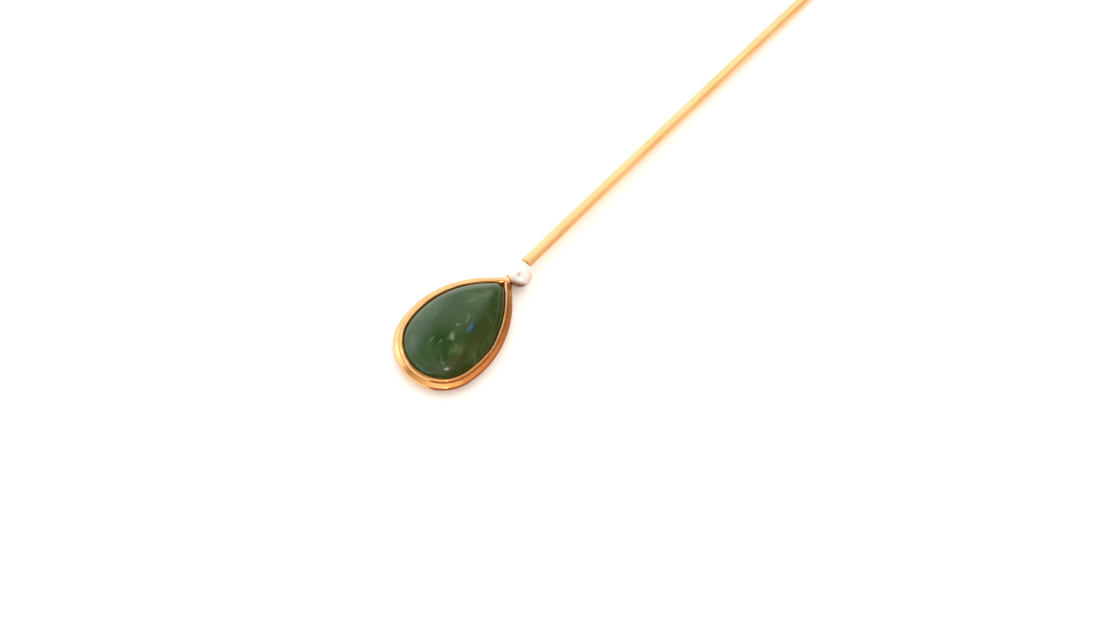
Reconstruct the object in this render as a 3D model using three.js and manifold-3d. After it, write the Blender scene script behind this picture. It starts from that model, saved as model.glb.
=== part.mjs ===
// Stick pin: a pear-shaped jade cabochon in a gold bezel, a drilled pearl and a straight pointed stem.
//
// Millimetres, +Z up.  The flat back of the setting lies on z = 0.  The origin is on the back plate,
// under the centre of the stone's round end.  The stem runs along +X, away from the stone's tip.

import * as THREE from 'three';
import { mergeVertices } from 'three/addons/utils/BufferGeometryUtils.js';
import Module from 'manifold-3d';

// ---- driving dimensions -------------------------------------------------------------------------

// pear outline of the stone: a round end, a flatter arc down each side, straight edges to the tip
const ROUND_RADIUS = 3.79;                 // half the stone's width
const ROUND_END_ANGLE = rad(101);          // where the round end hands over to the side arcs
const SIDE_RADIUS = 9.49;
const TIP_HALF_ANGLE = rad(42);            // between a straight edge and the stone's long axis
const STONE_TIP_ROUNDING = 0.9;

// heights
const PLATE_THICKNESS = 0.35;
const SEAT_TOP = 0.5;
const GIRDLE_TOP = 0.75;                   // the stone's edge is upright up to here
const DOME_HEIGHT = 3.1;                   // from the girdle to the top of the stone
const DOME_FULLNESS = 2.1;                 // 2 is a quarter of an ellipse, more gives steeper sides
const DOME_CENTRE_X = 1.4;                 // the top of the dome
const LIP_CREST = 1.92;
const LIP_EDGE = 1.8;                      // where the lip touches the stone
const WIRE_HEIGHT = 0.95;                  // centre of the half-round wire

// plan widths, measured outwards from the stone's outline
const LIP_OVERLAP = 0.165;                 // how far the lip is burnished in over the stone
const WALL_THICKNESS = 0.2;
const WIRE_RADIUS = 0.46;
const SEAT_WIDTH = 0.6;

// stem and pearl
const STEM_RADIUS = 0.575;
const STEM_CHAMFER = 0.08;
const PEG_RADIUS = 0.32;                   // thinned end of the stem that carries the pearl
const PEG_END_X = 8.95;                    // just inside the wall
const PEARL_RADIUS = 1.3;
const PEARL_BORE_RADIUS = 0.45;
const PEARL_OFF_CENTRE = 0.35;             // the pearl is drilled a little off its centre
const PEARL_X = 10.7;
const AXIS_HEIGHT = PEARL_RADIUS + 0.02;   // stem axis above the back face, at the pearl
const PIN_END_X = 69.4;
const POINT_LENGTH = 8;
const POINT_RADIUS = 0.05;
const POINT_CURVE = 1.4;                   // 1 is a straight cone, more gives a fuller point

// fits
const FIT = 0.02;                          // clearance between touching pieces
const WALL_INNER = 0.03;                   // the wall's inner face, outwards from the stone's outline
const WALL_OUTER = WALL_INNER + WALL_THICKNESS;

// the stem slopes gently so that its underside meets z = 0 where the point begins
const TAPER_X = PIN_END_X - POINT_LENGTH;
const STEM_SLOPE = Math.atan2(AXIS_HEIGHT - STEM_RADIUS, TAPER_X - PEARL_X);

// smoothness
const ROUND_STEPS = 44;
const SIDE_STEPS = 12;
const LATHE_STEPS = 28;

function rad(degrees) {
  return THREE.MathUtils.degToRad(degrees);
}

// ---- materials ----------------------------------------------------------------------------------

const gold = { color: 0xe0a04a, roughness: 0.18, metalness: 1 };
const jade = { color: 0x2f5a2c, roughness: 0.12, metalness: 0 };
const pearlWhite = { color: 0xf3efe6, roughness: 0.25, metalness: 0 };
const cementGrey = { color: 0xcfc8b4, roughness: 0.7, metalness: 0 };

function piece(name, geometry, look) {
  const mesh = new THREE.Mesh(geometry, new THREE.MeshStandardMaterial(look));
  mesh.name = name;
  return mesh;
}

// ---- pear outline -------------------------------------------------------------------------------

// Half of the pear, from the round end along +Y to the tip on the X axis, moved outwards by `offset`.
// The arcs keep their centres, so outlines with different offsets have matching points.
function halfPear(offset) {
  const roundRadius = ROUND_RADIUS + offset;
  const sideRadius = SIDE_RADIUS + offset;
  const sideCentre = new THREE.Vector2(Math.cos(ROUND_END_ANGLE), Math.sin(ROUND_END_ANGLE))
    .multiplyScalar(ROUND_RADIUS - SIDE_RADIUS);
  const edgeAngle = Math.PI / 2 - TIP_HALF_ANGLE;
  const points = [];
  for (let i = 0; i <= ROUND_STEPS / 2; i += 1) {
    const angle = THREE.MathUtils.lerp(Math.PI, ROUND_END_ANGLE, i / (ROUND_STEPS / 2));
    points.push(new THREE.Vector2(roundRadius * Math.cos(angle), roundRadius * Math.sin(angle)));
  }
  for (let i = 1; i <= SIDE_STEPS; i += 1) {
    const angle = THREE.MathUtils.lerp(ROUND_END_ANGLE, edgeAngle, i / SIDE_STEPS);
    points.push(new THREE.Vector2(
      sideCentre.x + sideRadius * Math.cos(angle),
      sideCentre.y + sideRadius * Math.sin(angle),
    ));
  }
  return points;
}

function tipX(offset) {
  const edgeStart = halfPear(offset).at(-1);
  return edgeStart.x + edgeStart.y / Math.tan(TIP_HALF_ANGLE);
}

// Closes half an outline into a loop, counter-clockwise seen from above.
// `end` is the half outline's last stretch: the points between the side arc and the X axis.
function mirrored(half, end) {
  const upper = [...half, ...end];
  const lower = upper.slice(1, -1).reverse().map((p) => new THREE.Vector2(p.x, -p.y));
  return [...upper, ...lower].reverse();
}

// the setting follows the pear to a sharp tip
function settingOutline(offset) {
  return mirrored(halfPear(offset), [new THREE.Vector2(tipX(offset), 0)]);
}

// the stone's own tip is rounded off
function stoneOutline() {
  const centreX = tipX(0) - STONE_TIP_ROUNDING / Math.sin(TIP_HALF_ANGLE);
  const steps = 5;
  const end = [];
  for (let i = 0; i <= steps; i += 1) {
    const angle = THREE.MathUtils.lerp(Math.PI / 2 - TIP_HALF_ANGLE, 0, i / steps);
    end.push(new THREE.Vector2(
      centreX + STONE_TIP_ROUNDING * Math.cos(angle),
      STONE_TIP_ROUNDING * Math.sin(angle),
    ));
  }
  return mirrored(halfPear(0), end);
}

// ---- solids from stacked loops ------------------------------------------------------------------

// Joins equal loops of 3-D points in order.  A `closed` stack runs back to its first loop and makes a
// ring; an open one is capped at both ends.  Loops run counter-clockwise and the stack goes upwards.
function stackedLoops(loops, closed) {
  const count = loops[0].length;
  const positions = loops.flat().flatMap((p) => [p.x, p.y, p.z]);
  const indices = [];
  const bands = closed ? loops.length : loops.length - 1;
  for (let band = 0; band < bands; band += 1) {
    const lower = band * count;
    const upper = ((band + 1) % loops.length) * count;
    for (let i = 0; i < count; i += 1) {
      const next = (i + 1) % count;
      indices.push(lower + i, lower + next, upper + next);
      indices.push(lower + i, upper + next, upper + i);
    }
  }
  if (!closed) {
    const topStart = (loops.length - 1) * count;
    for (const [a, b, c] of THREE.ShapeUtils.triangulateShape(loops[0], [])) {
      indices.push(c, b, a);
    }
    for (const [a, b, c] of THREE.ShapeUtils.triangulateShape(loops.at(-1), [])) {
      indices.push(topStart + a, topStart + b, topStart + c);
    }
  }
  const geometry = new THREE.BufferGeometry();
  geometry.setAttribute('position', new THREE.Float32BufferAttribute(positions, 3));
  geometry.setIndex(indices);
  geometry.computeVertexNormals();
  return geometry;
}

function lifted(outline, z) {
  return outline.map((p) => new THREE.Vector3(p.x, p.y, z));
}

function plate(offset, bottom, top) {
  return stackedLoops([lifted(settingOutline(offset), bottom), lifted(settingOutline(offset), top)], false);
}

// A ring of constant cross-section round the pear.  In the section, x is the offset from the stone's
// outline and y is the height; it runs up its outer side and down its inner side.
function pearRing(section) {
  return stackedLoops(section.map((p) => lifted(settingOutline(p.x), p.y)), true);
}

// ---- cutting with manifold ----------------------------------------------------------------------

const wasm = await Module();
wasm.setup();

function toManifold(geometry) {
  const bare = new THREE.BufferGeometry();
  bare.setAttribute('position', geometry.getAttribute('position'));
  bare.setIndex(geometry.getIndex());
  const merged = mergeVertices(bare, 1e-5);
  return new wasm.Manifold(new wasm.Mesh({
    numProp: 3,
    vertProperties: new Float32Array(merged.getAttribute('position').array),
    triVerts: new Uint32Array(merged.getIndex().array),
  }));
}

function fromManifold(solid) {
  const mesh = solid.getMesh();
  const geometry = new THREE.BufferGeometry();
  geometry.setAttribute('position', new THREE.BufferAttribute(mesh.vertProperties, 3));
  geometry.setIndex(new THREE.BufferAttribute(mesh.triVerts, 1));
  geometry.computeVertexNormals();
  return geometry;
}

function cut(geometry, ...tools) {
  return fromManifold(tools.reduce((solid, tool) => solid.subtract(toManifold(tool)), toManifold(geometry)));
}

// ---- placing things on the stem's axis ----------------------------------------------------------

// Turns a lathe's +Y axis to the stem's axis; y = 0 of the profile lands beside the pearl's centre.
function onStemAxis(geometry) {
  return geometry
    .rotateZ(-Math.PI / 2)
    .rotateY(STEM_SLOPE)
    .translate(PEARL_X, 0, AXIS_HEIGHT);
}

function turned(profile) {
  const points = profile.map(([radius, along]) => new THREE.Vector2(radius, along));
  return onStemAxis(new THREE.LatheGeometry(points, LATHE_STEPS));
}

function rod(radius, start, end) {
  return turned([[0, start], [radius, start], [radius, end], [0, end]]);
}

function ball(radius) {
  return new THREE.SphereGeometry(radius, 36, 24)
    .translate(PEARL_X, -PEARL_OFF_CENTRE, AXIS_HEIGHT);
}

// ---- the pieces ---------------------------------------------------------------------------------

// Domed stone.  The lower rings of the dome keep an even distance from the edge all the way round and
// the upper rings close on the dome's centre, so the lip can touch the stone everywhere.  `inward` runs
// from 0 at the edge to 1 at the top.
function cabochon() {
  const outline = stoneOutline();
  const centre = new THREE.Vector2(DOME_CENTRE_X, 0);
  const count = outline.length;
  const straightReach = (tipX(0) - DOME_CENTRE_X) * Math.sin(TIP_HALF_ANGLE);
  const reach = outline.map((p, i) => {
    const along = outline[(i + 1) % count].clone().sub(outline[(i + count - 1) % count]).normalize();
    return Math.min(straightReach, p.clone().sub(centre).dot(new THREE.Vector2(along.y, -along.x)));
  });
  const loops = [lifted(outline, SEAT_TOP + FIT), lifted(outline, GIRDLE_TOP)];
  const rings = 15;
  for (let ring = 1; ring <= rings; ring += 1) {
    const climb = (ring / (rings + 0.6)) * (Math.PI / 2);
    const inward = 1 - Math.cos(climb) ** (2 / DOME_FULLNESS);
    const height = GIRDLE_TOP + DOME_HEIGHT * Math.sin(climb) ** (2 / DOME_FULLNESS);
    loops.push(outline.map((p, i) => {
      const evenShare = ROUND_RADIUS / reach[i];
      const scale = 1 - inward * THREE.MathUtils.lerp(evenShare, 1, inward);
      const q = centre.clone().lerp(p, scale);
      return new THREE.Vector3(q.x, q.y, height);
    }));
  }
  return stackedLoops(loops, false);
}

// Thin gold strip on edge round the stone, its upper edge rounded over and burnished down to the stone.
function wallSection() {
  const crestOffset = 0.1;
  const section = new THREE.Shape();
  section.moveTo(WALL_OUTER, PLATE_THICKNESS + FIT);
  section.lineTo(WALL_OUTER, LIP_CREST - 0.45);
  section.bezierCurveTo(
    WALL_OUTER, LIP_CREST - 0.15,
    crestOffset + 0.09, LIP_CREST,
    crestOffset, LIP_CREST,
  );
  section.quadraticCurveTo(-0.1, LIP_CREST, -LIP_OVERLAP, LIP_EDGE);
  section.lineTo(WALL_INNER, GIRDLE_TOP + 0.5);
  section.lineTo(WALL_INNER, PLATE_THICKNESS + FIT);
  return section.getPoints(7);
}

// Half-round wire soldered round the outside of the wall, below its lip.
function wireSection() {
  const section = new THREE.Shape();
  section.absarc(WALL_OUTER + FIT, WIRE_HEIGHT, WIRE_RADIUS, -Math.PI / 2, Math.PI / 2, false);
  return section.getPoints(9);
}

// Flat ledge inside the wall that carries the stone.
function seatSection() {
  return [
    new THREE.Vector2(0, PLATE_THICKNESS + FIT),
    new THREE.Vector2(0, SEAT_TOP),
    new THREE.Vector2(-SEAT_WIDTH, SEAT_TOP),
    new THREE.Vector2(-SEAT_WIDTH, PLATE_THICKNESS + FIT),
  ];
}

// Straight wire: a thin peg through the pearl, a shoulder behind it, a plain shank and a long point.
function stem() {
  const pegEnd = PEG_END_X - PEARL_X;
  const shoulder = PEARL_RADIUS + FIT;
  const taperStart = TAPER_X - PEARL_X;
  const end = PIN_END_X - PEARL_X;
  const profile = [
    [0, pegEnd],
    [PEG_RADIUS, pegEnd],
    [PEG_RADIUS, shoulder],
    [STEM_RADIUS - STEM_CHAMFER, shoulder],
    [STEM_RADIUS, shoulder + STEM_CHAMFER],
    [STEM_RADIUS, taperStart],
  ];
  const steps = 8;
  for (let i = 1; i <= steps; i += 1) {
    const share = i / steps;
    const radius = THREE.MathUtils.lerp(STEM_RADIUS, POINT_RADIUS, share ** POINT_CURVE);
    profile.push([radius, THREE.MathUtils.lerp(taperStart, end - POINT_RADIUS, share)]);
  }
  profile.push([0, end]);
  return turned(profile);
}

// Sleeve of cement between the peg and the pearl's bore.
function cementSleeve() {
  const inner = PEG_RADIUS + FIT;
  const outer = PEARL_BORE_RADIUS - FIT;
  const half = PEARL_RADIUS - 0.25;
  return turned([[inner, -half], [outer, -half], [outer, half], [inner, half], [inner, -half]]);
}

// ---- assembly -----------------------------------------------------------------------------------

const pegHole = () => rod(PEG_RADIUS + FIT, -3, 0);

const part = new THREE.Group();
part.name = 'stick_pin';
part.add(
  piece('jade_cabochon', cabochon(), jade),
  piece('bezel_wall', cut(pearRing(wallSection()), pegHole()), gold),
  piece('bezel_moulding', cut(pearRing(wireSection()), pegHole(), ball(PEARL_RADIUS + FIT)), gold),
  piece('stone_seat', pearRing(seatSection()), gold),
  piece('back_plate', plate(WALL_OUTER, 0, PLATE_THICKNESS), gold),
  piece('stem', stem(), gold),
  piece('pearl', cut(ball(PEARL_RADIUS), rod(PEARL_BORE_RADIUS, -2, 2)), pearlWhite),
  piece('pearl_cement', cementSleeve(), cementGrey),
);

export default part;
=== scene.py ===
"""Looks of the stick pin: jade cabochon, hand-burnished gold bezel, drilled pearl and drawn gold stem.

Lengths in the code below are millimetres until a mesh is made; Blender itself works in metres.
"""

import math

import bpy
import numpy as np
from mathutils import Matrix, Vector


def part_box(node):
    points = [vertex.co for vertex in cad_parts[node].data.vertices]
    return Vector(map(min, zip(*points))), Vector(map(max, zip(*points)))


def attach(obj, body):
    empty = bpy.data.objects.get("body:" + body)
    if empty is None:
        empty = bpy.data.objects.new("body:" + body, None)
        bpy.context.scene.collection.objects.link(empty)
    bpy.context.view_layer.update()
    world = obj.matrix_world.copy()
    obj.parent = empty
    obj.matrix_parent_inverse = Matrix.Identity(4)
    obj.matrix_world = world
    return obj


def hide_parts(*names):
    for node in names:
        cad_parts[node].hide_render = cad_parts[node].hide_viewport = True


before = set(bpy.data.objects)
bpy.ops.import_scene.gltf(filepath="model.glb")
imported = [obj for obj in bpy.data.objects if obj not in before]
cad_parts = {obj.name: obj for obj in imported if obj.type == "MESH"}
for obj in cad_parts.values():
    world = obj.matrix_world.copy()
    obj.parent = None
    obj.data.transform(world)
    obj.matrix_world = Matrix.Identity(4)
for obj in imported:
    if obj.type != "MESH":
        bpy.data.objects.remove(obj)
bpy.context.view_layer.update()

MM = 0.001

# ---- shape, in millimetres -----------------------------------------------------------------------

# the pear outline and the dome, as in the CAD model
ROUND_RADIUS = 3.79
SIDE_RADIUS = 9.49
ROUND_END_ANGLE = math.radians(101)
TIP_HALF_ANGLE = math.radians(42)
STONE_TIP_ROUNDING = 0.9
GIRDLE_HEIGHT = 0.23
DOME_FULLNESS = 2.1
DOME_CENTRE_X = 1.4
STONE_BEVEL = 0.05

# the wall and the half-round wire; offsets are outwards from the stone's outline
WALL_INNER = 0.03
WALL_OUTER = 0.23
FIT = 0.02
PLATE_EDGE_RADIUS = 0.06
FOOT_DROP = 0.7
SHOULDER_DROP = 0.45

# softer than the CAD model here: a worn tip, and solder filling the angle between wire and wall
SETTING_TIP_ROUNDING = 0.2
SOLDER_SLOPE = math.radians(52)

# the burnished lip: its average section, how far the hand strayed, and one broad facet on the -Y side
CREST_OFFSET = -0.02
CREST_STRAY = 0.05
CREST_WEAR = 0.025
LIP_OVERLAP = 0.165
LIP_DROP = 0.08
LIP_STRAY = 0.02
WIRE_STRAY = 0.01
FACET_TURN = 0.265
FACET_REACH = 0.08
FACET_SHIFT = 0.08
FACET_DROP = 0.05

# the wire stem and the pearl
STEM_SIDES = 64
STEM_CHAMFER = 0.08
STEM_BOW = 0.06
PEG_RADIUS = 0.32
PEG_CHAMFER = 0.04
POINT_LENGTH = 8.0
POINT_RADIUS = 0.05
POINT_CURVE = 1.4
PEARL_BORE_RADIUS = 0.45
PEARL_UNEVENNESS = 0.012

SHARP_EDGE_ANGLE = math.radians(40)

rng = np.random.default_rng(7)


def cad_extent(node):
    """Lowest and highest corner of a CAD node, in millimetres."""
    low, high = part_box(node)
    return np.array(low) / MM, np.array(high) / MM


def make_object(name, vertices, faces, material, slot, *nodes):
    """A smooth-shaded piece from vertices in millimetres, standing for CAD nodes."""
    mesh = bpy.data.meshes.new(name)
    mesh.from_pydata((np.asarray(vertices) * MM).tolist(), [], faces)
    mesh.validate()
    mesh.update()
    mesh.shade_smooth()
    mesh.set_sharp_from_angle(angle=SHARP_EDGE_ANGLE)
    mesh.materials.append(material)
    piece = bpy.data.objects.new(name, mesh)
    bpy.context.scene.collection.objects.link(piece)
    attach(piece, "root")
    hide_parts(*nodes)
    return piece


# ---- pear outline --------------------------------------------------------------------------------

def outline_plan(round_steps=120, side_steps=50, edge_steps=18, tip_steps=16):
    """Stations once round the pear, counter-clockwise from the far end of the round end.

    Each station is (part of the outline, position within it from 0 to 1, side of the X axis).
    """
    half = [("round", i / round_steps) for i in range(round_steps + 1)]
    half += [("side", i / side_steps) for i in range(1, side_steps + 1)]
    half += [("edge", i / edge_steps) for i in range(1, edge_steps + 1)]
    half += [("tip", i / tip_steps) for i in range(1, tip_steps + 1)]
    return [(*h, -1) for h in half] + [(*h, 1) for h in half[-2:0:-1]]


def pear_points(plan, offset, tip_rounding):
    """The pear moved outwards by `offset` (one number, or one for each station)."""
    offset = np.broadcast_to(np.asarray(offset, float), len(plan))
    edge_angle = math.pi / 2 - TIP_HALF_ANGLE
    end_direction = np.array([math.cos(ROUND_END_ANGLE), math.sin(ROUND_END_ANGLE)])
    side_centre = (ROUND_RADIUS - SIDE_RADIUS) * end_direction
    edge_direction = np.array([math.cos(edge_angle), math.sin(edge_angle)])
    points = np.empty((len(plan), 2))
    for i, (part, t, side) in enumerate(plan):
        side_radius = SIDE_RADIUS + offset[i]
        edge_start = side_centre + side_radius * edge_direction
        sharp_tip = edge_start[0] + edge_start[1] / math.tan(TIP_HALF_ANGLE)
        rounding = tip_rounding + max(offset[i], 0.0)
        tip_centre = np.array([sharp_tip - rounding / math.sin(TIP_HALF_ANGLE), 0.0])
        if part == "round":
            angle = math.pi + (ROUND_END_ANGLE - math.pi) * t
            point = (ROUND_RADIUS + offset[i]) * np.array([math.cos(angle), math.sin(angle)])
        elif part == "side":
            angle = ROUND_END_ANGLE + (edge_angle - ROUND_END_ANGLE) * t
            point = side_centre + side_radius * np.array([math.cos(angle), math.sin(angle)])
        elif part == "edge":
            point = edge_start + t * (tip_centre + rounding * edge_direction - edge_start)
        else:
            angle = edge_angle * (1 - t)
            point = tip_centre + rounding * np.array([math.cos(angle), math.sin(angle)])
        points[i] = point[0], point[1] * side
    return points


def lift(points, z):
    """The flat outline `points` raised to `z`, one number or one for each station."""
    return np.column_stack([points, np.broadcast_to(z, len(points))])


def skin(loops, closed=False, cap_top=False, cap_bottom=False):
    """Vertices and faces of a stack of equal loops; a closed stack runs back to its first loop."""
    count = len(loops[0])
    faces = []
    for band in range(len(loops) if closed else len(loops) - 1):
        low = band * count
        high = (band + 1) % len(loops) * count
        for i in range(count):
            j = (i + 1) % count
            faces.append((low + i, low + j, high + j, high + i))
    vertices = np.concatenate(loops)
    if cap_bottom:
        faces.append(tuple(range(count - 1, -1, -1)))
    if cap_top:
        top = (len(loops) - 1) * count
        faces.append(tuple(range(top, top + count)))
    return vertices, faces


def bezier(start, control_a, control_b, end, steps):
    """Points along a cubic curve; each argument is a point or an array of points."""
    t = np.linspace(0, 1, steps + 1).reshape(-1, *[1] * np.ndim(start))
    near_start = (1 - t) ** 3 * start + 3 * (1 - t) ** 2 * t * control_a
    near_end = 3 * (1 - t) * t ** 2 * control_b + t ** 3 * end
    return near_start + near_end


def smoothstep(low, high, value):
    """0 below `low`, 1 above `high`, and a smooth ramp between."""
    t = np.clip((np.asarray(value, float) - low) / (high - low), 0, 1)
    return t * t * (3 - 2 * t)


def hand_wave(turn, waves):
    """A slow wander round the outline: a few whole waves of fixed random phase, about -1 to 1."""
    phases = rng.uniform(0, 2 * math.pi, len(waves))
    total = sum(np.sin(2 * math.pi * n * turn + p) / math.sqrt(n) for n, p in zip(waves, phases))
    return total / sum(1 / math.sqrt(n) for n in waves)


def turns(plan):
    """How far round the outline each station is, from 0 to 1."""
    base = pear_points(plan, 0, SETTING_TIP_ROUNDING)
    steps = np.linalg.norm(np.roll(base, -1, 0) - base, axis=1)
    return np.concatenate([[0], np.cumsum(steps)[:-1]]) / steps.sum()


# ---- node helper ---------------------------------------------------------------------------------

def put(tree, kind, inputs=None, **settings):
    """Adds a node; each input is a plain value or the output socket that feeds it."""
    node = tree.nodes.new(kind)
    for key, value in settings.items():
        setattr(node, key, value)
    for key, value in (inputs or {}).items():
        if isinstance(value, bpy.types.NodeSocket):
            tree.links.new(value, node.inputs[key])
        else:
            node.inputs[key].default_value = value
    return node


def new_material(name):
    """A material with its node tree, its Principled shader and the place of each point on the object."""
    material = bpy.data.materials.new(name)
    material.use_nodes = True
    tree = material.node_tree
    shader = tree.nodes["Principled BSDF"]
    place = put(tree, "ShaderNodeTexCoord").outputs["Object"]
    return material, tree, shader, place


def stretched(tree, place, scale, turn=(0, 0, 0)):
    """The place scaled and turned, so that a pattern laid on it comes out longer one way."""
    inputs = {"Vector": place, "Scale": scale, "Rotation": turn}
    return put(tree, "ShaderNodeMapping", inputs).outputs["Vector"]


def noise(tree, place, size, detail=2.0, roughness=0.5, distortion=0.0):
    """Noise whose features are about `size` millimetres across."""
    inputs = {
        "Vector": place,
        "Scale": 1 / (size * MM),
        "Detail": detail,
        "Roughness": roughness,
        "Distortion": distortion,
    }
    return put(tree, "ShaderNodeTexNoise", inputs).outputs["Fac"]


def between(tree, value, low, high, to_low, to_high):
    """Smooth step from `to_low` to `to_high` as the value goes from `low` to `high`."""
    inputs = {"Value": value, "From Min": low, "From Max": high, "To Min": to_low, "To Max": to_high}
    return put(tree, "ShaderNodeMapRange", inputs, interpolation_type="SMOOTHSTEP").outputs["Result"]


def blend(tree, share, colour_a, colour_b):
    """Mix of two colours: the first at share 0, the second at share 1."""
    node = put(tree, "ShaderNodeMix", {"Factor": share}, data_type="RGBA")
    for socket, colour in ((node.inputs[6], colour_a), (node.inputs[7], colour_b)):
        if isinstance(colour, bpy.types.NodeSocket):
            tree.links.new(colour, socket)
        else:
            socket.default_value = (*colour, 1)
    return node.outputs[2]


def math_node(tree, operation, a, b):
    """Result of a maths node on two numbers."""
    return put(tree, "ShaderNodeMath", {0: a, 1: b}, operation=operation).outputs[0]


def vector_math(tree, operation, inputs, output="Vector"):
    """Result of a maths node on vectors."""
    return put(tree, "ShaderNodeVectorMath", inputs, operation=operation).outputs[output]


def oval_distance(tree, place, x, y, length, width, direction):
    """Distance from the middle of an oval on the XY plane, 1 at its edge; sizes in millimetres."""
    inputs = {
        "Vector": place,
        "Location": (x * MM, y * MM, 0),
        "Rotation": (0, 0, math.radians(direction)),
        "Scale": (length / 2 * MM, width / 2 * MM, 1),
    }
    local = put(tree, "ShaderNodeMapping", inputs, vector_type="TEXTURE").outputs["Vector"]
    return vector_math(tree, "LENGTH", {0: local}, "Value")


def bump(tree, height, depth_mm, normal=None):
    """Surface normal bent by a height pattern, laid on an earlier bump if one is given."""
    inputs = {"Height": height, "Strength": 1.0, "Distance": depth_mm * MM}
    if normal is not None:
        inputs["Normal"] = normal
    return put(tree, "ShaderNodeBump", inputs).outputs["Normal"]


# ---- materials -----------------------------------------------------------------------------------

def polished_gold():
    """Warm yellow gold of the setting: hand polished, with burnisher marks and fine wear.

    It is a little less than fully metallic, so that it also answers to the lamp it doesn't mirror.
    """
    material, tree, shader, place = new_material("polished_gold")
    tone = noise(tree, place, 2.2, detail=3)
    wear = noise(tree, place, 0.35, detail=4, roughness=0.6)
    marks = noise(tree, stretched(tree, place, (1, 1, 0.3)), 0.5, detail=1)
    scratches = noise(tree, stretched(tree, place, (0.15, 1, 1), (0, 0, 0.6)), 0.05, detail=2)
    colour = blend(tree, between(tree, tone, 0.35, 0.65, 0, 1), (0.95, 0.54, 0.25), (0.91, 0.45, 0.18))
    colour = blend(tree, between(tree, wear, 0.58, 0.72, 0, 0.35), colour, (0.82, 0.36, 0.12))
    normal = bump(tree, marks, 0.012)
    normal = bump(tree, scratches, 0.0012, normal)
    tree.links.new(colour, shader.inputs["Base Color"])
    tree.links.new(between(tree, wear, 0.3, 0.75, 0.09, 0.20), shader.inputs["Roughness"])
    tree.links.new(normal, shader.inputs["Normal"])
    shader.inputs["Metallic"].default_value = 0.92
    return material


def drawn_gold():
    """Paler gold wire; fine lines along its length from the draw plate spread reflections across it.

    Its satin surface is partly metallic for the same reason as the setting's.
    """
    material, tree, shader, place = new_material("drawn_gold")
    lines = noise(tree, stretched(tree, place, (0.02, 1, 1)), 0.10, detail=3, roughness=0.6)
    tone = noise(tree, stretched(tree, place, (0.3, 1, 1)), 1.5, detail=2)
    colour = blend(tree, between(tree, tone, 0.35, 0.65, 0, 1), (1.0, 0.66, 0.33), (0.98, 0.61, 0.28))
    tree.links.new(colour, shader.inputs["Base Color"])
    tree.links.new(between(tree, lines, 0.3, 0.7, 0.30, 0.46), shader.inputs["Roughness"])
    tree.links.new(bump(tree, lines, 0.002), shader.inputs["Normal"])
    tangent = put(tree, "ShaderNodeTangent", direction_type="RADIAL", axis="X").outputs["Tangent"]
    tree.links.new(tangent, shader.inputs["Tangent"])
    shader.inputs["Metallic"].default_value = 0.65
    shader.inputs["Anisotropic"].default_value = 0.7
    return material


# the dark green streak through the middle of the jade: x, y, length, width (mm), direction (degrees)
JADE_HEART = (0, 0, 4.8, 1.2, 0)

# pale feathery flaws in the jade: x, y, length, width (mm), direction (degrees) and strength
JADE_FEATHERS = [
    (4.3, 0.6, 1.4, 0.14, -15, 0.7),
    (-1.2, 0.5, 1.5, 0.18, 10, 0.9),
    (0.4, -0.6, 1.2, 0.8, -5, 1.0),
    (1.6, -0.3, 0.7, 0.22, 25, 0.9),
    (-0.8, -0.3, 0.8, 0.35, 0, 0.9),
    (2.7, -0.5, 1.3, 0.5, 35, 0.7),
    (-2.0, -1.9, 0.7, 0.22, -80, 0.8),
    (-1.8, -1.4, 1.4, 0.4, -110, 0.4),
    (-0.2, -1.7, 2.6, 1.8, -15, 0.4),
    (5.6, 0.5, 5.5, 4.2, 0, 0.16),
]


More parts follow.
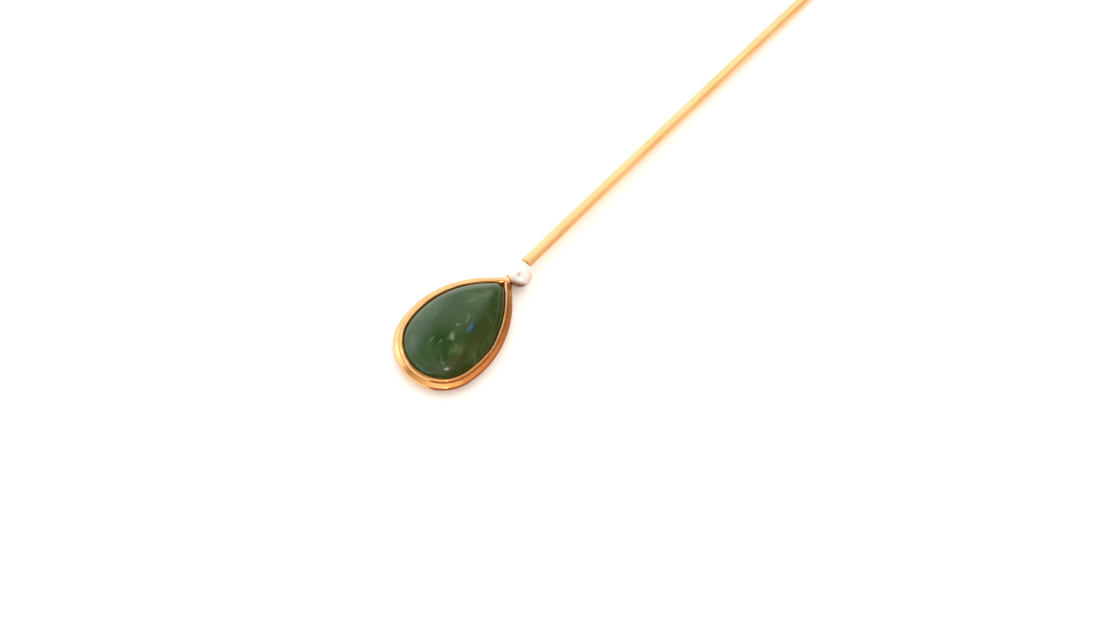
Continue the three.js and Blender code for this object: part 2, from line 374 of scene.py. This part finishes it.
def jade():
    """Deep green nephrite with clouds, pale feathers and polish; the -Y side is painted darker and more
    olive as shade with a warm reflected tint.
    """
    material, tree, shader, place = new_material("jade")
    ripple = put(tree, "ShaderNodeTexNoise", {"Vector": place, "Scale": 1400, "Detail": 3}).outputs["Color"]
    centred = vector_math(tree, "SUBTRACT", {0: ripple, 1: (0.5, 0.5, 0.5)})
    shift = vector_math(tree, "SCALE", {0: centred, "Scale": 0.9 * MM})
    bent = vector_math(tree, "ADD", {0: place, 1: shift})

    cloud = noise(tree, bent, 2.4, detail=4, roughness=0.6, distortion=0.6)
    speckle = noise(tree, place, 0.18, detail=3, roughness=0.7)
    # painted shade: the stone is coloured darker and more olive towards its -Y side
    across = put(tree, "ShaderNodeSeparateXYZ", {0: place}).outputs["Y"]
    painted_shade_side = between(tree, across, 0.5 * MM, -3.5 * MM, 0, 1)
    colour = blend(tree, painted_shade_side, (0.022, 0.057, 0.016), (0.014, 0.033, 0.003))
    colour = blend(tree, between(tree, cloud, 0.45, 0.75, 0, 0.8), colour, (0.048, 0.100, 0.036))
    colour = blend(tree, between(tree, cloud, 0.50, 0.25, 0, 0.7), colour, (0.018, 0.042, 0.007))
    colour = blend(tree, between(tree, speckle, 0.60, 0.75, 0, 0.25), colour, (0.06, 0.11, 0.045))

    heart = oval_distance(tree, bent, *JADE_HEART)
    colour = blend(tree, between(tree, heart, 1.0, 0.3, 0, 0.85), colour, (0.014, 0.044, 0.007))

    feathers = 0.0
    for *oval, strength in JADE_FEATHERS:
        reach = oval_distance(tree, bent, *oval)
        feathers = math_node(tree, "MAXIMUM", between(tree, reach, 1.0, 0.1, 0, strength), feathers)
    torn = noise(tree, bent, 0.4, detail=4, roughness=0.7)
    feathers = math_node(tree, "MULTIPLY", feathers, between(tree, torn, 0.35, 0.6, 0.15, 0.85))
    colour = blend(tree, feathers, colour, (0.16, 0.26, 0.13))

    tree.links.new(colour, shader.inputs["Base Color"])
    tree.links.new(between(tree, speckle, 0.3, 0.8, 0.07, 0.13), shader.inputs["Roughness"])
    tree.links.new(bump(tree, noise(tree, place, 1.6, detail=2), 0.010), shader.inputs["Normal"])
    shader.inputs["IOR"].default_value = 1.61
    shader.inputs["Specular IOR Level"].default_value = 0.36
    shader.inputs["Subsurface Weight"].default_value = 0.35
    shader.inputs["Subsurface Radius"].default_value = (0.35, 1.0, 0.3)
    shader.inputs["Subsurface Scale"].default_value = 0.6 * MM
    return material


# which way the pearl's brown underside of painted shade and reflection, and its grey spot of painted dark
# reflection, face
PEARL_PAINTED_SHADE_SIDE = (-0.75, -0.40, -0.35)
PEARL_PAINTED_REFLECTION_SIDE = (-0.45, -0.13, 0.9)


def nacre():
    """White pearl with a soft lustre: faint patches, tiny growth marks, a brown underside of painted shade
    and reflection, and a grey spot of painted dark reflection.
    """
    material, tree, shader, place = new_material("nacre")
    patches = noise(tree, place, 1.3, detail=2, distortion=0.4)
    blush = noise(tree, stretched(tree, place, (1, 1, 1), (0.5, 0.3, 0)), 0.8, detail=2)
    growth = noise(tree, stretched(tree, place, (0.25, 1, 1)), 0.16, detail=3)
    colour = blend(tree, between(tree, patches, 0.35, 0.65, 0, 1), (0.87, 0.86, 0.89), (0.86, 0.83, 0.83))
    colour = blend(tree, between(tree, blush, 0.55, 0.75, 0, 0.4), colour, (0.84, 0.76, 0.75))
    # painted shade and reflection: the underside is coloured brown
    from_centre = vector_math(tree, "SUBTRACT", {0: place, 1: pearl_centre * MM})
    painted_shade_way = Vector(PEARL_PAINTED_SHADE_SIDE).normalized()
    depth = vector_math(tree, "DOT_PRODUCT", {0: from_centre, 1: painted_shade_way}, "Value")
    painted_shade = between(tree, depth, 0.45 * pearl_radius * MM, 0.84 * pearl_radius * MM, 0, 1)
    colour = blend(tree, painted_shade, colour, (0.21, 0.115, 0.06))
    # painted dark reflection: a grey spot on the side facing the camera
    painted_reflection_spot = Vector(PEARL_PAINTED_REFLECTION_SIDE).normalized() * pearl_radius * MM
    from_painted_reflection = vector_math(tree, "DISTANCE", {0: from_centre, 1: painted_reflection_spot}, "Value")
    colour = blend(tree, between(tree, from_painted_reflection, 0.30 * MM, 0.05 * MM, 0, 0.6), colour, (0.40, 0.37, 0.36))
    tree.links.new(colour, shader.inputs["Base Color"])
    tree.links.new(between(tree, growth, 0.3, 0.7, 0.16, 0.22), shader.inputs["Roughness"])
    tree.links.new(bump(tree, growth, 0.0003), shader.inputs["Normal"])
    shader.inputs["Subsurface Weight"].default_value = 0.4
    shader.inputs["Subsurface Radius"].default_value = (1.0, 0.85, 0.7)
    shader.inputs["Subsurface Scale"].default_value = 0.3 * MM
    shader.inputs["Metallic"].default_value = 0.2
    shader.inputs["Coat Weight"].default_value = 0.4
    shader.inputs["Coat Roughness"].default_value = 0.08
    shader.inputs["Thin Film Thickness"].default_value = 320
    shader.inputs["Thin Film IOR"].default_value = 1.4
    return material


def cement():
    """Dull cream cement with a fine grain."""
    material, tree, shader, place = new_material("cement")
    grain = noise(tree, place, 0.08, detail=3)
    colour = blend(tree, between(tree, grain, 0.3, 0.7, 0, 1), (0.58, 0.54, 0.44), (0.66, 0.62, 0.52))
    tree.links.new(colour, shader.inputs["Base Color"])
    tree.links.new(bump(tree, grain, 0.004), shader.inputs["Normal"])
    shader.inputs["Roughness"].default_value = 0.7
    return material


def pale_paper():
    """Nearly white paper that the pin lies on."""
    material, tree, shader, place = new_material("pale_paper")
    grain = noise(tree, place, 0.6, detail=3)
    colour = blend(tree, grain, (0.88, 0.88, 0.88), (0.90, 0.895, 0.89))
    tree.links.new(colour, shader.inputs["Base Color"])
    shader.inputs["Roughness"].default_value = 0.55
    shader.inputs["Specular IOR Level"].default_value = 0.2
    return material


def flag_card():
    """Dark brown card, seen only in reflections."""
    material, tree, shader, place = new_material("flag_card")
    grain = noise(tree, place, 2.0, detail=3)
    tree.links.new(blend(tree, grain, (0.18, 0.08, 0.035), (0.24, 0.12, 0.05)), shader.inputs["Base Color"])
    shader.inputs["Roughness"].default_value = 0.8
    return material


setting_gold = polished_gold()
stem_gold = drawn_gold()

# ---- the setting ---------------------------------------------------------------------------------

plan = outline_plan()
turn = turns(plan)
plate_low, plate_high = cad_extent("back_plate")
wall_low, wall_high = cad_extent("bezel_wall")
moulding_low, moulding_high = cad_extent("bezel_moulding")
stone_low, stone_high = cad_extent("jade_cabochon")
pearl_low, pearl_high = cad_extent("pearl")
stem_low, stem_high = cad_extent("stem")

pearl_centre = (pearl_low + pearl_high) / 2
pearl_radius = (pearl_high[0] - pearl_low[0]) / 2
axis_height = pearl_centre[2]


def back_plate():
    """Flat plate with softly broken edges."""
    bottom, top = plate_low[2], plate_high[2]
    angles = np.linspace(0, math.pi / 2, 5)
    corner = PLATE_EDGE_RADIUS * (1 - np.column_stack([np.sin(angles), np.cos(angles)]))
    lower = [(WALL_OUTER - inset, bottom + rise) for inset, rise in corner]
    upper = [(WALL_OUTER - inset, top - drop) for inset, drop in corner[::-1]]
    loops = [lift(pear_points(plan, o, SETTING_TIP_ROUNDING), z) for o, z in lower + upper]
    vertices, faces = skin(loops, cap_top=True, cap_bottom=True)
    return make_object("back_cover", vertices, faces, setting_gold, "setting_gold", "back_plate")


def around_outline(offset, z):
    """One section point at every station, where either number may vary from station to station."""
    return np.stack(np.broadcast_arrays(offset, z, turn)[:2], axis=-1)


def bezel_wall():
    """Thin wall, its rounded edge pushed down to the stone; it wanders, as hand burnishing leaves it."""
    bottom, crest = wall_low[2], wall_high[2]
    wander = hand_wave(turn, (2, 3, 5, 8, 13))
    strokes = hand_wave(turn, (6, 9, 14, 22, 31))
    presses = hand_wave(turn, (4, 7, 11, 17, 26))
    facet = 1 - smoothstep(0, FACET_REACH, abs(turn - FACET_TURN))
    crest_offset = CREST_OFFSET + CREST_STRAY * presses + FACET_SHIFT * facet
    edge_offset = LIP_STRAY * (1 + wander) - LIP_OVERLAP
    edge_height = crest - LIP_DROP - LIP_STRAY * (1 + presses) - FACET_DROP * facet
    shoulder = around_outline(WALL_OUTER, crest - SHOULDER_DROP)
    top = around_outline(crest_offset, crest - CREST_WEAR * (1 + strokes))
    edge = around_outline(edge_offset, edge_height)
    foot = around_outline(WALL_INNER, crest - FOOT_DROP)
    section = np.concatenate([
        around_outline(WALL_OUTER, bottom)[None],
        bezier(shoulder, shoulder + (0, 0.2), top + (0.14, 0), top, 16),
        bezier(top, top - (0.05, 0), edge + (0.03, 0.03), edge, 14)[1:],
        bezier(edge, edge + (0.03, -0.1), foot + (0, 0.1), foot, 6)[1:],
        around_outline(WALL_INNER, bottom)[None],
    ])
    loops = [lift(pear_points(plan, row[:, 0], SETTING_TIP_ROUNDING), row[:, 1]) for row in section]
    vertices, faces = skin(loops, closed=True)
    return make_object("burnished_bezel", vertices, faces, setting_gold, "setting_gold", "bezel_wall")


def bezel_moulding():
    """Half-round wire round the wall with its solder, hollowed at the tip where the pearl sits."""
    inner = WALL_OUTER + FIT
    bottom, crest = moulding_low[2], moulding_high[2]
    middle, radius = (bottom + crest) / 2, (crest - bottom) / 2
    around = np.linspace(-math.pi / 2, SOLDER_SLOPE, 36)
    section = np.column_stack([inner + radius * np.cos(around), middle + radius * np.sin(around)])
    last_offset, last_height = section[-1]
    run = last_offset - inner
    section = np.vstack([section, (inner, last_height + run / math.tan(SOLDER_SLOPE))])
    sway = hand_wave(turn, (3, 4, 7, 12, 19))
    loops = []
    for offset, z in section:
        offsets = offset - smoothstep(inner, inner + radius, offset) * WIRE_STRAY * (1 + sway)
        loops.append(lift(pear_points(plan, offsets, SETTING_TIP_ROUNDING), z))
    vertices, faces = skin(loops, closed=True)
    away = vertices - pearl_centre
    hollow_depth = (pearl_radius + FIT) ** 2 - away[:, 1] ** 2 - away[:, 2] ** 2
    hollow_x = pearl_centre[0] - np.sqrt(np.maximum(hollow_depth, 0))
    vertices[:, 0] = np.where(hollow_depth > 0, np.minimum(vertices[:, 0], hollow_x), vertices[:, 0])
    return make_object("bezel_wire", vertices, faces, setting_gold, "setting_gold", "bezel_moulding")


def cabochon():
    """The domed stone.  Low rings keep an even distance from the edge, high rings close on the top."""
    stone_plan = outline_plan(tip_steps=40)
    outline = pear_points(stone_plan, 0, STONE_TIP_ROUNDING)
    centre = np.array([DOME_CENTRE_X, 0.0])
    along = np.roll(outline, -1, 0) - np.roll(outline, 1, 0)
    normal = np.column_stack([along[:, 1], -along[:, 0]]) / np.linalg.norm(along, axis=1, keepdims=True)
    sharp_tip = outline[:, 0].max() - STONE_TIP_ROUNDING + STONE_TIP_ROUNDING / math.sin(TIP_HALF_ANGLE)
    straight_reach = (sharp_tip - DOME_CENTRE_X) * math.sin(TIP_HALF_ANGLE)
    reach = np.minimum(((outline - centre) * normal).sum(1), straight_reach)
    bottom, top = stone_low[2], stone_high[2]
    girdle = bottom + GIRDLE_HEIGHT
    loops = [
        lift(centre + (outline - centre) * (1 - STONE_BEVEL / reach)[:, None], bottom),
        lift(outline, bottom + STONE_BEVEL),
        lift(outline, girdle),
    ]
    rings = 90
    for ring in range(1, rings + 1):
        climb = ring / (rings + 0.5) * math.pi / 2
        inward = 1 - math.cos(climb) ** (2 / DOME_FULLNESS)
        height = girdle + (top - girdle) * math.sin(climb) ** (2 / DOME_FULLNESS)
        scale = 1 - inward * (ROUND_RADIUS / reach * (1 - inward) + inward)
        loops.append(lift(centre + (outline - centre) * scale[:, None], height))
    vertices, faces = skin(loops, cap_top=True, cap_bottom=True)
    return make_object("jade_dome", vertices, faces, jade(), "jade", "jade_cabochon")


# ---- pearl and stem ------------------------------------------------------------------------------

stem_radius = (stem_high[1] - stem_low[1]) / 2
fall = axis_height - stem_low[2] - stem_radius
slope = math.atan2(fall, stem_high[0] - POINT_LENGTH - pearl_centre[0])
stem_axis = Matrix.Translation((pearl_centre[0], 0, axis_height)) @ Matrix.Rotation(slope, 4, "Y")


def along_stem(profile):
    """Loops round the stem's axis from (distance along it from the pearl, radius) pairs.

    The axis starts at the pearl and slopes down until the shank rests on the table where its point begins.
    """
    length = stem_high[0] - pearl_centre[0]
    loops = []
    for x, radius in profile:
        sag = STEM_BOW * math.sin(math.pi * min(max(x / length, 0), 1))
        ring = [
            stem_axis @ Vector((x, sag + radius * math.cos(a), radius * math.sin(a)))
            for a in np.linspace(0, 2 * math.pi, STEM_SIDES, endpoint=False)
        ]
        loops.append(np.array(ring))
    return loops


def stem():
    """Round wire: peg, shoulder, long plain shank with a barely visible bow, and a ground point."""
    peg_end = stem_low[0] - pearl_centre[0]
    shoulder = pearl_radius + FIT
    end = stem_high[0] - pearl_centre[0]
    taper = end - POINT_LENGTH
    tip = end - POINT_RADIUS
    shank = shoulder + STEM_CHAMFER
    profile = [
        (peg_end, PEG_RADIUS - PEG_CHAMFER),
        (peg_end + PEG_CHAMFER, PEG_RADIUS),
        (shoulder, PEG_RADIUS),
    ]
    for a in np.linspace(0, math.pi / 2, 6):
        inset = STEM_CHAMFER * (1 - math.sin(a))
        profile.append((shoulder + STEM_CHAMFER * (1 - math.cos(a)), stem_radius - inset))
    for t in np.linspace(0, 1, 60)[1:]:
        profile.append((shank + (taper - shank) * t, stem_radius))
    for t in np.linspace(0, 1, 40)[1:]:
        radius = stem_radius + (POINT_RADIUS - stem_radius) * t ** POINT_CURVE
        profile.append((taper + (tip - taper) * t, radius))
    for a in np.linspace(0, math.pi / 2, 6)[1:-1]:
        profile.append((end - POINT_RADIUS * (1 - math.sin(a)), POINT_RADIUS * math.cos(a)))
    vertices, faces = skin(along_stem(profile), cap_top=True, cap_bottom=True)
    return make_object("gold_stem", vertices, faces, stem_gold, "stem_gold", "stem")


def pearl():
    """Slightly uneven drilled pearl: rings round the bore, each reaching out to the pearl's surface."""
    sides, rings = 96, 64
    around = np.linspace(0, 2 * math.pi, sides, endpoint=False)
    spoke = np.column_stack([np.cos(around), np.sin(around)])
    middle = np.array([pearl_centre[1], 0.0])
    reach_along = np.sqrt(pearl_radius ** 2 - ((spoke * PEARL_BORE_RADIUS - middle) ** 2).sum(1))
    loops = []
    for a in np.linspace(-math.pi / 2, math.pi / 2, rings):
        x = reach_along * math.sin(a)
        toward = spoke @ middle
        radius = toward + np.sqrt(np.maximum(toward ** 2 - middle @ middle + pearl_radius ** 2 - x ** 2, 0))
        radius = np.maximum(radius, PEARL_BORE_RADIUS)
        loops.append(np.column_stack([x, spoke * radius[:, None]]))
    points = np.concatenate(loops)
    out = points - np.array([0, *middle])
    outward = out / np.linalg.norm(out, axis=1, keepdims=True)
    broad_wave = np.sin(2.1 * outward @ np.array([1.0, 1.7, 0.6]) + 0.4)
    cross_wave = np.sin(2.6 * outward @ np.array([-0.8, 0.9, 1.5]))
    points = points - outward * PEARL_UNEVENNESS * (1 + broad_wave * cross_wave)[:, None]
    loops = list(points.reshape(rings, sides, 3))
    inside = [np.column_stack([loops[k][:, 0], spoke * PEARL_BORE_RADIUS]) for k in (-1, 0)]
    all_loops = loops + [inside[0] * (0.97, 1, 1), inside[1] * (0.97, 1, 1)]
    placed = [np.array([stem_axis @ Vector(p) for p in loop]) for loop in all_loops]
    vertices, faces = skin(placed, closed=True)
    return make_object("pearl_bead", vertices, faces, nacre(), "pearl", "pearl")


back_plate()
bezel_wall()
bezel_moulding()
cabochon()
stem()
pearl()

for node, material in (("stone_seat", setting_gold), ("pearl_cement", cement())):
    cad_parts[node].data.materials.clear()
    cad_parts[node].data.materials.append(material)

# ---- floor and flag ------------------------------------------------------------------------------

FLOOR_HALF_WIDTH = 450
FLOOR_GAP = 0.01
FLAG_RADIUS = 40
FLAG_SIDES = 64
FLAG_CENTRE = (5.2, -41.5)
FLAG_LIFT = 0.005


def flat_object(name, corners, material):
    """One flat face from its corners in millimetres."""
    mesh = bpy.data.meshes.new(name)
    mesh.from_pydata([(x * MM, y * MM, 0) for x, y in corners], [], [tuple(range(len(corners)))])
    mesh.materials.append(material)
    flat = bpy.data.objects.new(name, mesh)
    bpy.context.scene.collection.objects.link(flat)
    return flat


square = FLOOR_HALF_WIDTH * np.array([(-1, -1), (1, -1), (1, 1), (-1, 1)])
floor = flat_object("floor", square, pale_paper())
floor.location.z = (plate_low[2] - FLOOR_GAP) * MM

# a dark disc lying beside the setting that only reflections see
angles = np.linspace(0, 2 * math.pi, FLAG_SIDES, endpoint=False)
circle = np.column_stack([FLAG_RADIUS * np.cos(angles), FLAG_RADIUS * np.sin(angles)])
flag = flat_object("flag", circle, flag_card())
flag.location = (FLAG_CENTRE[0] * MM, FLAG_CENTRE[1] * MM, floor.location.z + FLAG_LIFT * MM)
flag.visible_camera = False
flag.visible_diffuse = False
flag.visible_shadow = False

# ---- light ---------------------------------------------------------------------------------------

# the lamp's elevation in degrees, its distance and width in metres
CEILING_ELEVATION = 89
CEILING_DISTANCE = 0.70
CEILING_WIDTH = 1.4
CEILING_RADIANCE = 1.3

# what the polished surfaces mirror: a broad soft window on the +Y side, dimmer patches of the room,
# a small lamp on the -Y side and a small blue source
# (azimuth, elevation, radius of the bright core, radius of the outer edge, all in degrees; colour)
ROOM_PATCHES = [
    (97, 14, 12, 62, (1.35, 1.40, 1.50)),
    (140, 6, 5, 36, (0.8, 0.8, 0.8)),
    (-155, 14, 8, 48, (0.65, 0.60, 0.50)),
    (-123, 20, 2, 7, (8.0, 7.7, 7.0)),
    (-125, 30, 8, 34, (0.62, 0.55, 0.43)),
    (-75, 12, 10, 60, (0.26, 0.10, 0.03)),
    (-80, 34, 8, 42, (0.30, 0.19, 0.10)),
    (15, 48, 6, 36, (1.05, 1.02, 0.90)),
    (20, 18, 5, 36, (0.60, 0.56, 0.44)),
    (-35, 57, 0.5, 3.2, (0.2, 1.2, 3.4)),
    (-31, 59, 0.5, 3.2, (0.2, 1.2, 3.4)),
    (-26, 60, 0.5, 3.2, (0.2, 1.2, 3.4)),
]
ROOM_COLOUR = (0.20, 0.165, 0.11)


def direction(azimuth, elevation):
    """Unit vector towards an azimuth from +X and an elevation, both in degrees."""
    a, e = math.radians(azimuth), math.radians(elevation)
    return Vector((math.cos(e) * math.cos(a), math.cos(e) * math.sin(a), math.sin(e)))


def ceiling_light():
    """A broad soft lamp over the setting, as bright as a surface of its radiance, that nothing mirrors."""
    light = bpy.data.lights.new("ceiling", "AREA")
    light.shape = "RECTANGLE"
    light.size = CEILING_WIDTH
    light.size_y = CEILING_WIDTH
    light.energy = math.pi * CEILING_WIDTH * CEILING_WIDTH * CEILING_RADIANCE
    lamp = bpy.data.objects.new("ceiling", light)
    head = Vector(((stone_low + stone_high) / 2 * MM).tolist())
    towards = direction(0, CEILING_ELEVATION)
    lamp.location = head + towards * CEILING_DISTANCE
    lamp.rotation_euler = towards.to_track_quat("Z", "Y").to_euler()
    lamp.visible_camera = False
    lamp.visible_glossy = False
    bpy.context.scene.collection.objects.link(lamp)


def room():
    """The world: plain white where the camera looks, soft patches of light for everything else."""
    world = bpy.data.worlds.new("studio")
    world.use_nodes = True
    bpy.context.scene.world = world
    tree = world.node_tree
    tree.nodes.clear()
    ray = put(tree, "ShaderNodeTexCoord").outputs["Generated"]
    light = ROOM_COLOUR
    for azimuth, elevation, core, edge, colour in ROOM_PATCHES:
        aim = vector_math(tree, "DOT_PRODUCT", {0: ray, 1: direction(azimuth, elevation)}, "Value")
        limits = math.cos(math.radians(edge)), math.cos(math.radians(core))
        glow = between(tree, aim, *limits, 0, 1)
        patch = vector_math(tree, "SCALE", {0: colour, "Scale": glow})
        light = vector_math(tree, "ADD", {0: patch, 1: light})
    seen = put(tree, "ShaderNodeLightPath").outputs["Is Camera Ray"]
    light = blend(tree, seen, light, (1.0, 1.0, 1.0))
    surface = put(tree, "ShaderNodeBackground", {"Color": light, "Strength": 1.0}).outputs["Background"]
    put(tree, "ShaderNodeOutputWorld", {"Surface": surface})


ceiling_light()
room()

# ---- camera --------------------------------------------------------------------------------------

# angles in degrees, the focal length in millimetres as on a lens, the nearest distance seen in metres
CAMERA_AZIMUTH = 198.3
CAMERA_ELEVATION = 64.7
CAMERA_ROLL = 25.2
CAMERA_DISTANCE = 115.8
LOOK_AT = (9.96, -4.95, 1.66)
FOCAL_LENGTH = 39.3
CLIP_START = 0.005

camera_data = bpy.data.cameras.new("camera")
camera_data.lens = FOCAL_LENGTH
camera_data.clip_start = CLIP_START
camera = bpy.data.objects.new("camera", camera_data)
back = direction(CAMERA_AZIMUTH, CAMERA_ELEVATION)
camera.location = (Vector(LOOK_AT) + back * CAMERA_DISTANCE) * MM
facing = back.to_track_quat("Z", "Y").to_matrix().to_4x4()
camera.rotation_euler = (facing @ Matrix.Rotation(math.radians(CAMERA_ROLL), 4, "Z")).to_euler()
bpy.context.scene.collection.objects.link(camera)
bpy.context.scene.camera = camera
bpy.context.scene.view_settings.view_transform = "Standard"
